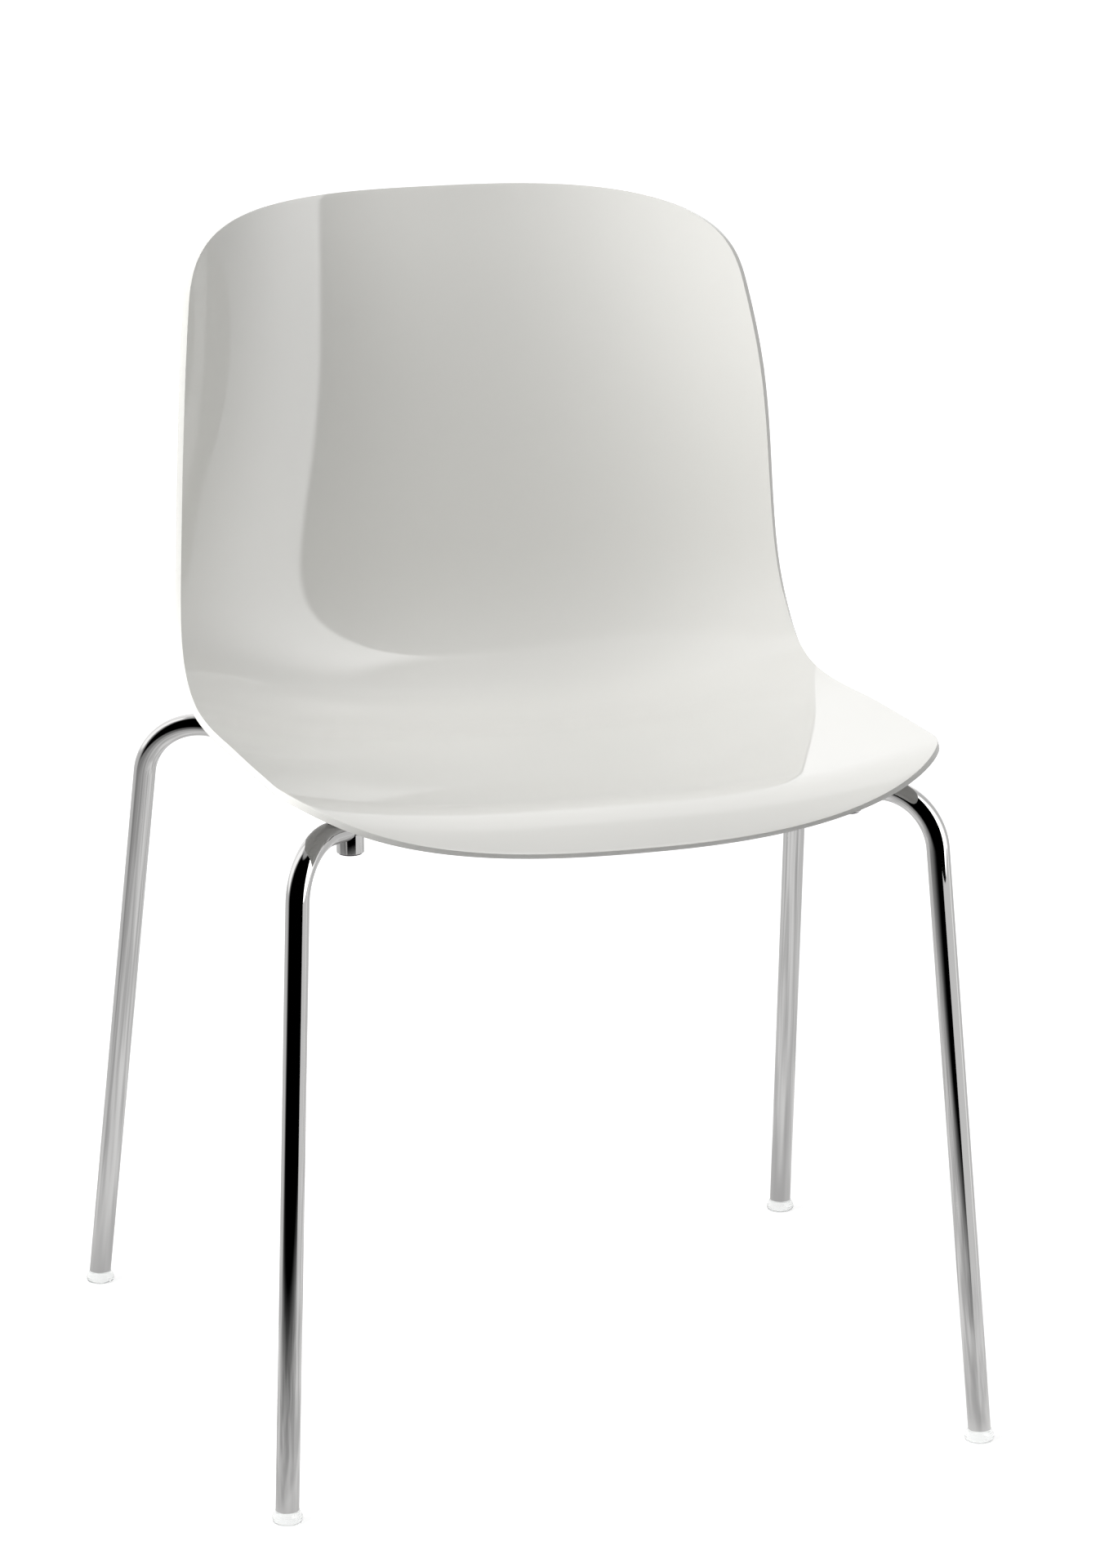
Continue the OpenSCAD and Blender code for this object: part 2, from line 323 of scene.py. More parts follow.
def surface_marks_group() -> bpy.types.NodeTree:
    """Builds the shared effect of broad tone, fine grain and hairline rubs.

    Returns:
        The group. Its outputs are masks from 0 to 1 that change over the surface.
    """
    tree = make_group(
        "surface marks", [("Broad scale", 6), ("Fine scale", 400), ("Rub scale", 40)],
        ["Broad", "Fine", "Rubs"])
    place = tree.nodes.new("ShaderNodeTexCoord").outputs["Object"]
    given, result = tree.nodes["in"], tree.nodes["out"]
    for label, detail, rough in (("Broad", 3.0, 0.5), ("Fine", 2.0, 0.6)):
        noise = tree.nodes.new("ShaderNodeTexNoise")
        noise.inputs["Detail"].default_value = detail
        noise.inputs["Roughness"].default_value = rough
        tree.links.new(place, noise.inputs["Vector"])
        tree.links.new(given.outputs[label + " scale"], noise.inputs["Scale"])
        tree.links.new(noise.outputs["Fac"], result.inputs[label])
    stretch = tree.nodes.new("ShaderNodeMapping")
    stretch.inputs["Rotation"].default_value = (0.3, 0.5, 0.9)
    stretch.inputs["Scale"].default_value = (1, 9, 1)
    tree.links.new(place, stretch.inputs["Vector"])
    rub = tree.nodes.new("ShaderNodeTexNoise")
    rub.inputs["Detail"].default_value = 6
    rub.inputs["Roughness"].default_value = 0.7
    tree.links.new(stretch.outputs["Vector"], rub.inputs["Vector"])
    tree.links.new(given.outputs["Rub scale"], rub.inputs["Scale"])
    tree.links.new(remap(tree, rub.outputs["Fac"], 0.62, 0.72, 0.0, 1.0), result.inputs["Rubs"])
    return tree


@dataclass(frozen=True)
class Finish:
    """One surface finish, as a maker would specify it."""

    name: str
    colour: Vec3
    tint: Vec3
    roughness: tuple[float, float]
    metallic: float = 0.0
    broad_scale: float = 6
    fine_scale: float = 400
    rub_scale: float = 40
    grain_depth: float = 0.00002
    grain_strength: float = 0.2
    rub_roughness: float = 0.1
    ior: float = 1.5
    coat: float = 0.0
    transmission: float = 0.0
    sheen: float = 0.0

    def material(self, marks: bpy.types.NodeTree) -> bpy.types.Material:
        """Makes the finish's material.

        Args:
            marks: the shared surface marks group.

        Returns:
            The material.
        """
        made = bpy.data.materials.new(self.name)
        made.use_nodes = True
        tree = made.node_tree
        surface = tree.nodes["Principled BSDF"]
        surface.inputs["Metallic"].default_value = self.metallic
        surface.inputs["IOR"].default_value = self.ior
        surface.inputs["Coat Weight"].default_value = self.coat
        surface.inputs["Coat Roughness"].default_value = 0.03
        surface.inputs["Transmission Weight"].default_value = self.transmission
        surface.inputs["Sheen Weight"].default_value = self.sheen
        group = tree.nodes.new("ShaderNodeGroup")
        group.node_tree = marks
        group.inputs["Broad scale"].default_value = self.broad_scale
        group.inputs["Fine scale"].default_value = self.fine_scale
        group.inputs["Rub scale"].default_value = self.rub_scale
        mix = tree.nodes.new("ShaderNodeMix")
        mix.data_type = "RGBA"
        mix.inputs["A"].default_value = (*self.colour, 1)
        mix.inputs["B"].default_value = (*self.tint, 1)
        tree.links.new(group.outputs["Broad"], mix.inputs["Factor"])
        tree.links.new(mix.outputs["Result"], surface.inputs["Base Color"])
        worn = math_node(tree, "MULTIPLY", group.outputs["Rubs"], self.rub_roughness)
        base = remap(tree, group.outputs["Broad"], 0.25, 0.75, *self.roughness)
        tree.links.new(math_node(tree, "ADD", base, worn), surface.inputs["Roughness"])
        bump = tree.nodes.new("ShaderNodeBump")
        bump.inputs["Strength"].default_value = self.grain_strength
        bump.inputs["Distance"].default_value = self.grain_depth
        tree.links.new(group.outputs["Fine"], bump.inputs["Height"])
        tree.links.new(bump.outputs["Normal"], surface.inputs["Normal"])
        return made


FINISHES: dict[Slot, Finish] = {
    Slot.SHELL: Finish("glossy moulded shell", (0.76, 0.755, 0.725), (0.74, 0.735, 0.705), (0.02, 0.04),
                       broad_scale=5, fine_scale=700, grain_depth=0.00001, grain_strength=0.05,
                       rub_roughness=0.02, ior=1.5, coat=0.2),
    Slot.TUBE: Finish("mirror chrome tube", (0.62, 0.615, 0.61), (0.57, 0.565, 0.56), (0.015, 0.035),
                      metallic=1, broad_scale=9, fine_scale=900, grain_depth=0.000005,
                      grain_strength=0.03, rub_roughness=0.05),
    Slot.HUB: Finish("welded steel hub", (0.62, 0.62, 0.63), (0.48, 0.48, 0.50), (0.22, 0.38),
                     metallic=1, broad_scale=60, fine_scale=900, grain_depth=0.00004,
                     grain_strength=0.3, rub_roughness=0.15),
    Slot.SADDLE: Finish("grey nylon saddle", (0.060, 0.060, 0.064), (0.045, 0.045, 0.048), (0.38, 0.5),
                        broad_scale=70, fine_scale=1500, grain_depth=0.00006, grain_strength=0.4),
    Slot.INSERT: Finish("brass insert", (0.72, 0.52, 0.22), (0.62, 0.42, 0.17), (0.22, 0.34),
                        metallic=1, broad_scale=200, fine_scale=2500, grain_depth=0.00003,
                        grain_strength=0.3),
    Slot.FASTENER: Finish("zinc fastener", (0.66, 0.67, 0.68), (0.56, 0.57, 0.60), (0.2, 0.34),
                          metallic=1, broad_scale=150, fine_scale=2200, grain_depth=0.00002,
                          grain_strength=0.25),
    Slot.CUP: Finish("chrome cup", (0.64, 0.635, 0.63), (0.58, 0.575, 0.57), (0.02, 0.05),
                     metallic=1, broad_scale=50, fine_scale=1200, grain_depth=0.000005,
                     grain_strength=0.04, rub_roughness=0.06),
    Slot.PAD: Finish("dark rubber pad", (0.060, 0.038, 0.058), (0.040, 0.026, 0.038), (0.5, 0.68),
                     broad_scale=120, fine_scale=1800, grain_depth=0.0001, grain_strength=0.5, sheen=0.15),
    Slot.GLIDE: Finish("clear plastic glide", (0.93, 0.94, 0.93), (0.86, 0.88, 0.87), (0.06, 0.14),
                       broad_scale=90, fine_scale=1500, grain_depth=0.00002, grain_strength=0.15,
                       transmission=0.88, ior=1.47),
}


# ---------------------------------------------------------------- the shell


@dataclass
class SeatShell:
    """The one-piece seat and back, as the shape of its upper face in millimetres."""

    lip_reach: float = 259.3
    lip_height: float = 435.4
    lip_run: float = 67.5
    seat_run: float = 228
    bend_run: float = 216
    back_run: float = 245
    slopes: tuple[float, ...] = (41, -3.1, -3.6, 79.8, 72.6)
    half_widths: tuple[float, ...] = (221.8, 223.8, 221.8, 219.4, 214.4, 208, 186.2)
    wing_heights: tuple[float, ...] = (19.4, 25.3, 29.6, 50.7, 59.6, 74.8, 66)
    dish: float = 3
    lip_corner: tuple[float, float] = (71.5, 2.3)
    top_corner: tuple[float, float] = (89, 2.8)
    thickness: float = 5
    rim_round: float = 1.1
    columns: int = 132
    rows: int = 190
    steps: int = 2400
    middle: tuple[np.ndarray, ...] = field(init=False)

    def __post_init__(self) -> None:
        """Works out the middle section by adding up its slope."""
        self.knee = self.lip_run + self.seat_run
        self.waist = self.knee + self.bend_run
        self.full_run = self.waist + self.back_run
        self.stations = np.array([
            0, self.lip_run + 114, self.knee, self.knee + 108, self.waist,
            self.waist + 0.4 * self.back_run, self.full_run])
        run = np.linspace(0, self.full_run, self.steps + 1)
        lean = self.slope((run[1:] + run[:-1]) / 2)
        step = self.full_run / self.steps
        y = -self.lip_reach + np.concatenate([[0], np.cumsum(np.cos(lean) * step)])
        z = self.lip_height + np.concatenate([[0], np.cumsum(np.sin(lean) * step)])
        self.middle = (run, y, z)

    @staticmethod
    def ease(q: np.ndarray) -> np.ndarray:
        """A smooth step from 0 to 1."""
        q = np.clip(q, 0, 1)
        return q * q * (3 - 2 * q)

    def slope(self, v: np.ndarray) -> np.ndarray:
        """The middle section's slope at a run.

        Args:
            v: distances along the middle from the front edge, in millimetres.

        Returns:
            The slopes in radians.
        """
        lip, front, rear, low, top = self.slopes
        first = lip + (front - lip) * self.ease(v / self.lip_run)
        seat = front + (rear - front) * (v - self.lip_run) / self.seat_run
        bend = rear + (low - rear) * self.ease((v - self.knee) / self.bend_run)
        back = low + (top - low) * np.clip((v - self.waist) / self.back_run, 0, 1)
        return np.radians(np.where(
            v < self.lip_run, first, np.where(v < self.knee, seat, np.where(v < self.waist, bend, back))))

    def along(self, values: Sequence[float], v: np.ndarray) -> np.ndarray:
        """Blends station values smoothly along the run.

        Args:
            values: one value per station.
            v: the runs.

        Returns:
            The blended values.
        """
        k = np.array(values)
        h = np.diff(self.stations)
        d = np.diff(k) / h
        m = np.concatenate([[d[0]], (d[1:] * h[:-1] + d[:-1] * h[1:]) / (h[:-1] + h[1:]), [d[-1]]])
        i = np.clip(np.searchsorted(self.stations, v, side="right") - 1, 0, len(h) - 1)
        t = np.clip((v - self.stations[i]) / h[i], 0, 1)
        return ((2 * t**3 - 3 * t**2 + 1) * k[i] + (t**3 - 2 * t**2 + t) * h[i] * m[i]
                + (3 * t**2 - 2 * t**3) * k[i + 1] + (t**3 - t**2) * h[i] * m[i + 1])

    def point(self, a: np.ndarray, t: np.ndarray) -> np.ndarray:
        """A point of the upper face.

        Args:
            a: across, from -1 at the left rim to 1 at the right.
            t: from 0 at the front edge to 1 at the top.

        Returns:
            Points in millimetres.
        """
        s = np.sin(np.pi / 2 * a)
        depth, power = self.lip_corner
        front = depth * (1 - (1 - np.abs(s)**power).clip(0)**(1 / power))
        depth, power = self.top_corner
        rear = self.full_run - depth * (1 - (1 - np.abs(s)**power).clip(0)**(1 / power))
        v = front + (rear - front) * t
        width = self.along(self.half_widths, v)
        x = width * s
        lean = self.slope(v)
        rise = self.along(self.wing_heights, v) * np.abs(s)**self.dish
        run, y, z = self.middle
        return np.stack([x, np.interp(v, run, y) - np.sin(lean) * rise,
                         np.interp(v, run, z) + np.cos(lean) * rise], -1)

    def build(self) -> bpy.types.Object:
        """Models the shell from a grid laid over the shape, with its wall and rounded rim.

        Returns:
            The piece.
        """
        clear_selection()
        bpy.ops.mesh.primitive_grid_add(x_subdivisions=self.columns, y_subdivisions=self.rows, size=2)
        piece = name_new("moulded_shell")
        flat = np.empty(len(piece.data.vertices) * 3)
        piece.data.vertices.foreach_get("co", flat)
        flat = flat.reshape(-1, 3)
        shaped = self.point(flat[:, 0], (flat[:, 1] + 1) / 2) / 1000
        piece.data.vertices.foreach_set("co", shaped.ravel())
        piece.data.update()
        add_wall(piece, self.thickness / 1000)
        add_bevel(piece, self.rim_round / 1000)
        apply_modifiers(piece)
        edit_all()
        square_up()
        smooth(piece, 40)
        return piece


# ---------------------------------------------------------------- the frame


@dataclass
class ChromeFrame:
    """Four bent tubes that meet in a hub. Sizes in metres."""

    tube_radius: float = 0.00775
    wall: float = 0.002
    hub_centre: Vec3 = (0.0, -0.005, 0.426)
    hub_radius: float = 0.022
    hub_bore: float = 0.013
    hub_height: float = 0.020
    hub_chamfer: float = 0.0008
    bead_radius: float = 0.0016
    front_foot: tuple[float, float] = (0.2398, -0.2475)
    rear_foot: tuple[float, float] = (0.2642, 0.2513)
    front_knee: Vec3 = (0.2146, -0.21695, 0.446)
    rear_knee: Vec3 = (0.2386, 0.1282, 0.4525)
    front_bend: float = 0.040
    rear_bend: float = 0.046
    glide_height: float = 0.0084
    bend_margin: float = 0.004
    hub_depth: float = 0.004
    start_below: float = 0.012
    sides: int = 72

    def foot(self, corner: Corner) -> Vector:
        """The point where a leg's axis meets the floor."""
        side, front = corner.value
        x, y = self.front_foot if front else self.rear_foot
        return Vector((side * x, y, 0))

    def knee(self, corner: Corner) -> Vector:
        """The point where a leg's axis and its arm's axis would meet."""
        side, front = corner.value
        x, y, z = self.front_knee if front else self.rear_knee
        return Vector((side * x, y, z))

    def on_arm(self, corner: Corner, x: float) -> Vector:
        """The point of an arm's axis at a distance from the middle plane.

        Args:
            corner: which leg.
            x: the distance in metres.

        Returns:
            The point.
        """
        knee, hub = self.knee(corner), Vector(self.hub_centre)
        return hub + (knee - hub) * (x / abs(knee.x))

    def ring_centre(self, corner: Corner) -> Vector:
        """The middle of the tube's level end, on top of the glide."""
        foot, knee = self.foot(corner), self.knee(corner)
        up = unit(knee - foot)
        end = foot + up * (self.glide_height / up.z)
        return Vector((end.x, end.y, 0))

    def leg(self, corner: Corner) -> bpy.types.Object:
        """Models one leg: a ring extruded up, spun round the bend and extruded to the hub.

        Args:
            corner: which leg.

        Returns:
            The piece.
        """
        foot, knee, hub = self.foot(corner), self.knee(corner), Vector(self.hub_centre)
        bend = self.front_bend if corner.value[1] else self.rear_bend
        up, inward = unit(knee - foot), unit(hub - knee)
        turn = up.angle(inward)
        cut = bend * math.tan(turn / 2)
        towards = unit(inward - up * inward.dot(up))
        start = foot - up * self.start_below
        clear_selection()
        bpy.ops.mesh.primitive_circle_add(
            vertices=self.sides, radius=self.tube_radius, fill_type="NOTHING",
            location=start, rotation=up.to_track_quat("Z", "Y").to_euler())
        piece = name_new("tube_leg_" + corner.tag)
        bake_place()
        edit_all()
        rise = (knee - start).length - cut
        extrude(up * (rise - self.bend_margin))
        extrude(up * self.bend_margin)
        bpy.ops.mesh.spin(
            steps=26, angle=turn, center=knee - up * cut + towards * bend, axis=unit(inward.cross(up)))
        extrude(inward * self.bend_margin)
        extrude(inward * ((hub - knee).length - cut - self.bend_margin - self.hub_radius + self.hub_depth))
        bpy.ops.mesh.select_all(action="SELECT")
        bpy.ops.mesh.bisect(
            plane_co=(0, 0, self.glide_height), plane_no=(0, 0, 1), clear_inner=True, clear_outer=False)
        square_up()
        add_wall(piece, self.wall)
        apply_modifiers(piece)
        smooth(piece, 40)
        return piece

    def hub(self) -> bpy.types.Object:
        """Models the hub ring with its chamfers and the four weld beads.

        Returns:
            The piece.
        """
        x, y, z = self.hub_centre
        half, outer, bore = self.hub_height / 2, self.hub_radius, self.hub_bore
        clear_selection()
        bpy.ops.mesh.primitive_cylinder_add(
            vertices=96, radius=outer, depth=self.hub_height, end_fill_type="NGON", location=(x, y, z))
        piece = name_new("welded_hub")
        bake_place()
        bpy.ops.object.mode_set(mode="EDIT")
        bpy.ops.mesh.select_all(action="DESELECT")
        bpy.ops.object.mode_set(mode="OBJECT")
        for face in piece.data.polygons:
            face.select = abs(face.normal.z) > 0.9
        bpy.ops.object.mode_set(mode="EDIT")
        bpy.ops.mesh.inset(thickness=outer - bore, depth=0)
        bpy.ops.mesh.bridge_edge_loops()
        square_up()
        add_bevel(piece, self.hub_chamfer)
        apply_modifiers(piece)
        beads = [self.bead(corner) for corner in Corner]
        clear_selection()
        for part in (*beads, piece):
            part.select_set(True)
        bpy.context.view_layer.objects.active = piece
        bpy.ops.object.join()
        smooth(piece, 40)
        return piece

    def bead(self, corner: Corner) -> bpy.types.Object:
        """Models the weld bead round one tube where it meets the hub.

        Args:
            corner: which leg.

        Returns:
            The bead.
        """
        hub = Vector(self.hub_centre)
        outward = unit(self.knee(corner) - hub)
        clear_selection()
        bpy.ops.mesh.primitive_torus_add(
            major_radius=self.tube_radius + 0.0002, minor_radius=self.bead_radius,
            major_segments=self.sides, minor_segments=14,
            location=(0, 0, 0), rotation=outward.to_track_quat("Z", "Y").to_euler())
        piece = name_new("bead_" + corner.tag)
        bake_place()
        level = unit(Vector((outward.x, outward.y, 0)))
        across = level.cross(Vector((0, 0, 1)))
        for vertex in piece.data.vertices:
            off = vertex.co.dot(across)
            reach = math.sqrt(max(self.hub_radius**2 - off * off, 0))
            spin = math.atan2(vertex.co.z, off)
            ripple = 1 + 0.05 * math.sin(26 * spin)
            lift = vertex.co - outward * vertex.co.dot(outward)
            vertex.co = hub + outward * (reach + vertex.co.dot(outward) * ripple) + lift
        piece.data.update()
        return piece


@dataclass
class Fixing:
    """The bright cup over a screw head and its stacking pad. Sizes in metres."""

    frame: ChromeFrame
    front_x: float = 0.170
    rear_x: float = 0.170
    cup_radius: float = 0.009
    cup_wall: float = 0.001
    cup_drop: float = 0.0159
    cup_top: float = 0.003

    def place(self, corner: Corner) -> Vector:
        """The point of the arm's axis that the cup hangs from, dropped to the cup's lower rim."""
        at = self.frame.on_arm(corner, self.front_x if corner.value[1] else self.rear_x)
        return at - Vector((0, 0, self.cup_drop))

    def cup(self, corner: Corner) -> bpy.types.Object:
        """Models one cup: a turned tube with a rolled lower rim.

        Args:
            corner: which leg.

        Returns:
            The piece.
        """
        outer, inner = self.cup_radius, self.cup_radius - self.cup_wall
        top = self.cup_drop - self.cup_top
        clear_selection()
        at = self.place(corner)
        bpy.ops.mesh.primitive_circle_add(
            vertices=64, radius=inner + 0.0001, fill_type="NOTHING", location=at + Vector((0, 0, 0.0002)))
        piece = name_new("chrome_cup_" + corner.tag)
        bake_place()
        edit_all()
        rim = [(inner + 0.0003, 0.0), (outer - 0.0003, 0.0), (outer - 0.00008, 0.00012), (outer, 0.0004),
               (outer, top), (inner, top), (inner, 0.0004)]
        radius, height = inner + 0.0001, 0.0002
        for r, z in rim:
            extrude((0, 0, z - height))
            bpy.ops.transform.resize(
                value=(r / radius, r / radius, 1), center_override=(at.x, at.y, at.z + z))
            radius, height = r, z
        bpy.ops.mesh.select_all(action="SELECT")
        bpy.ops.object.mode_set(mode="OBJECT")
        self.close(piece)
        smooth(piece, 35)
        return piece

    @staticmethod
    def close(piece: bpy.types.Object) -> None:
        """Joins a ring-shaped piece's first and last loops.

        Args:
            piece: the piece, open inside.
        """
        pick(piece)
        bpy.ops.object.mode_set(mode="EDIT")
        bpy.ops.mesh.select_all(action="DESELECT")
        bpy.ops.mesh.select_non_manifold(extend=False)
        bpy.ops.mesh.bridge_edge_loops()
        square_up()

    def pad(self, corner: Corner) -> bpy.types.Object:
        """Models one pad: a low dome with a rounded edge, held in the cup.

        Args:
            corner: which leg.

        Returns:
            The piece.
        """
        r = self.cup_radius - self.cup_wall - 0.00005
        profile = [(0.0006, -0.0012), (r - 0.0010, -0.0012), (r - 0.0004, -0.0010), (r - 0.0001, -0.0006),
                   (r, -0.0001), (r, 0.0032), (r - 0.0002, 0.0034), (0.0006, 0.0034)]
        piece = lathe("stacking_pad_" + corner.tag, profile, tuple(self.place(corner)), 56)
        smooth(piece, 45)
        return piece


@dataclass
class Glide:
    """A clear plastic foot: the level ring under the tube's end. Sizes in metres."""

    frame: ChromeFrame
    radius: float = 0.01025

    def build(self, corner: Corner) -> bpy.types.Object:
        """Models one glide as a turned foot.

        Args:
            corner: which leg.

        Returns:
            The piece.
        """
        g, r = self.radius, self.frame.tube_radius
        sole = [(0.001, 0.0), (g - 0.0022, 0.0), (g - 0.0014, 0.0002), (g - 0.0008, 0.0006),
                (g - 0.0004, 0.0013), (g - 0.0001, 0.0021), (g, 0.0028)]
        seam = [(g - 0.00006, 0.0034), (g - 0.0004, 0.00352), (g - 0.0004, 0.00376), (g - 0.00008, 0.00388)]
        shoulder = [(g - 0.0002, 0.0045), (g - 0.0006, 0.0054), (g - 0.0013, 0.0063), (r + 0.0005, 0.0070)]
        collar = [(r + 0.00012, 0.00725), (r + 0.00012, 0.00755), (r + 0.0004, 0.0077), (r + 0.0004, 0.0082),
                  (r + 0.0001, 0.0084), (0.001, 0.0084)]
        centre = self.frame.ring_centre(corner)
        piece = lathe("clear_glide_" + corner.tag, sole + seam + shoulder + collar, tuple(centre), 72)
        smooth(piece, 35)
        return piece


# ---------------------------------------------------------------- the studio


@dataclass(frozen=True)
class Wall:
    """One lit or dark stretch of the studio's walls, in degrees from the camera's side."""

    turns: tuple[float, float]
    heights: tuple[float, float]
    glow: float
    soft: tuple[float, float] = (2.0, 2.0)
    soft_height: float = 4

    def mask(self, tree: bpy.types.NodeTree, turn: bpy.types.NodeSocket,
             height: bpy.types.NodeSocket) -> bpy.types.NodeSocket:
        """Adds the nodes that are 1 on this stretch and 0 off it.

        Args:
            tree: the world's node tree.
            turn: the direction's angle round the studio.
            height: the direction's angle above the level.

        Returns:
            The mask's socket.
        """
        low, high = self.soft
        (start, end), (bottom, top), edge = self.turns, self.heights, self.soft_height
        left = remap(tree, turn, start - low, start + low, 0, 1)
        right = remap(tree, turn, end - high, end + high, 1, 0)
        under = remap(tree, height, bottom - edge, bottom + edge, 0, 1)
        over = remap(tree, height, top - edge, top + edge, 1, 0)
        return math_node(tree, "MULTIPLY", math_node(tree, "MULTIPLY", left, right),
                         math_node(tree, "MULTIPLY", under, over))


@dataclass
class Studio:
    """Pale floor, soft lights, surroundings and the camera."""

    camera_at: Vec3 = (-0.9441, -3.36305, 1.3002)
    yaw: float = 0.2784
    pitch: float = 0.2480
    roll: float = -0.0111
    lens: float = 120.5
    wall_glow: float = 0.92
    soft_glow: float = 0.45
    clean_glow: float = 1.05
    # card_glow: glow of the side card, a painted reflection in the chrome legs
    card_glow: float = 0.85
    # mirror_glow: glow of the floor patch, a painted floor reflection in the chrome
    mirror_glow: float = 0.92
    floor_glow: tuple[float, float] = (0.78, 1.05)
    walls: tuple[Wall, ...] = (
        Wall((-200, 200), (66, 100), 0.6),
        Wall((-90, 57), (-100, 66), 0.0, (12.0, 1.5)),
        Wall((-95, -38), (-60, -14), 0.4, (8.0, 25.0)),
        Wall((57, 92), (-25, 66), 4.2, (1.5, 24.0)),
        Wall((-200, -140), (-5, 66), 1.6, (6.0, 6.0)),
        Wall((150, 200), (-5, 66), 1.6, (6.0, 6.0)),
        Wall((-135, -98), (2, 55), 1.9, (6.0, 4.0)))
    lamp_size: float = 2.0
    lamp_distance: float = 3.0
    seat_height: float = 0.45
    lamps: tuple[tuple[str, float, float, float], ...] = (
        ("left lamp", -90, 30, 26), ("left front lamp", -60, 30, 82), ("right lamp", 90, 35, 20))

    def add_camera(self) -> None:
        """Places the camera from its yaw, pitch and roll, without shift."""
        level = math.cos(self.pitch)
        ahead = Vector((math.sin(self.yaw) * level, math.cos(self.yaw) * level, -math.sin(self.pitch)))
        right = Vector((math.cos(self.yaw), -math.sin(self.yaw), 0))
        up = right.cross(ahead)
        across = math.cos(self.roll) * right + math.sin(self.roll) * up
        above = -math.sin(self.roll) * right + math.cos(self.roll) * up
        data = bpy.data.cameras.new("studio camera")
        data.lens = self.lens
        data.sensor_width = 36
        data.sensor_fit = "AUTO"
        data.clip_end = 60
        camera = bpy.data.objects.new("studio camera", data)
        bpy.context.collection.objects.link(camera)
        turn = Matrix((across, above, -ahead)).transposed()
        camera.matrix_world = Matrix.Translation(self.camera_at) @ turn.to_4x4()
        bpy.context.scene.camera = camera

    def add_floor(self) -> None:
        """Lays a wide pale floor that looks brighter with distance, so it meets the walls unseen."""
        clear_selection()
        bpy.ops.mesh.primitive_plane_add(size=40)
        floor = name_new("floor")
        made = bpy.data.materials.new("pale floor")
        made.use_nodes = True
        tree = made.node_tree
        surface = tree.nodes["Principled BSDF"]
        surface.inputs["Roughness"].default_value = 0.9
        surface.inputs["Specular IOR Level"].default_value = 0.0
        noise = tree.nodes.new("ShaderNodeTexNoise")
        noise.inputs["Scale"].default_value = 3
        mix = tree.nodes.new("ShaderNodeMix")
        mix.data_type = "RGBA"
        mix.inputs["A"].default_value = (0.40, 0.40, 0.40, 1)
        mix.inputs["B"].default_value = (0.42, 0.42, 0.42, 1)
        tree.links.new(noise.outputs["Fac"], mix.inputs["Factor"])
        tree.links.new(mix.outputs["Result"], surface.inputs["Base Color"])
        surface.inputs["Emission Color"].default_value = (1, 1, 1, 1)
        glow = remap(tree, self.distance(tree), 0.3, 2.4, self.floor_glow[0], self.floor_glow[1])
        rays = tree.nodes.new("ShaderNodeLightPath")
        seen = math_node(tree, "MAXIMUM", rays.outputs["Is Camera Ray"], rays.outputs["Is Transmission Ray"])
        tree.links.new(math_node(tree, "MULTIPLY", glow, seen), surface.inputs["Emission Strength"])
        floor.data.materials.append(made)
        floor.visible_glossy = False

    @staticmethod
    def distance(tree: bpy.types.NodeTree) -> bpy.types.NodeSocket:
        """The distance from the middle of the floor.

        Args:
            tree: the floor material's node tree.

        Returns:
            The distance's socket.
        """
        length = tree.nodes.new("ShaderNodeVectorMath")
        length.operation = "LENGTH"
        tree.links.new(tree.nodes.new("ShaderNodeTexCoord").outputs["Object"], length.inputs[0])
        return length.outputs["Value"]

    def add_mirror_floor(self) -> None:
        """Lays a glowing patch at floor level, a painted reflection of lit floor that only bright metal
        mirrors. It fades out with distance.
        """
        clear_selection()
        bpy.ops.mesh.primitive_circle_add(vertices=64, radius=1.6, fill_type="NGON", location=(0, 0, 0.0002))
        patch = name_new("painted_floor_reflection")
        bake_place()
        made = bpy.data.materials.new("painted floor reflection")
        made.use_nodes = True
        tree = made.node_tree
        tree.nodes.clear()
        glow = tree.nodes.new("ShaderNodeEmission")
        # the noise makes the painted floor reflection uneven, painting streaks in the chrome
        reflection_streaks = tree.nodes.new("ShaderNodeTexNoise")
        reflection_streaks.inputs["Scale"].default_value = 5
        tree.links.new(tree.nodes.new("ShaderNodeTexCoord").outputs["Object"], reflection_streaks.inputs["Vector"])
        level = remap(tree, reflection_streaks.outputs["Fac"], 0.35, 0.65,
                      self.mirror_glow * 0.72, self.mirror_glow * 1.1)
        tree.links.new(level, glow.inputs["Strength"])
        mix = tree.nodes.new("ShaderNodeMixShader")
        tree.links.new(remap(tree, self.distance(tree), 0.15, 1.25, 1, 0), mix.inputs[0])
        tree.links.new(tree.nodes.new("ShaderNodeBsdfTransparent").outputs[0], mix.inputs[1])
        tree.links.new(glow.outputs[0], mix.inputs[2])
        out = tree.nodes.new("ShaderNodeOutputMaterial")
        tree.links.new(mix.outputs[0], out.inputs["Surface"])
        self.stage_for_gloss(patch, made)

    def add_card(self) -> None:
        """Stands a low glowing card beside the front legs, a painted reflection that only gloss mirrors."""
        clear_selection()
        bpy.ops.mesh.primitive_plane_add(size=1, location=(0.913, -0.651, -0.05),
                                         rotation=(math.pi / 2, 0, math.radians(19.2)))
        card = name_new("side_card")
        card.scale = (1.33, 0.7, 1)
        bake_place()
        made = bpy.data.materials.new("glowing reflection card")
        made.use_nodes = True
        tree = made.node_tree
        tree.nodes.clear()
        # the card glows by itself: a painted reflection of a white card, seen only in gloss
        glow = tree.nodes.new("ShaderNodeEmission")
        glow.inputs["Strength"].default_value = self.card_glow
        out = tree.nodes.new("ShaderNodeOutputMaterial")
        tree.links.new(glow.outputs[0], out.inputs["Surface"])
        self.stage_for_gloss(card, made)

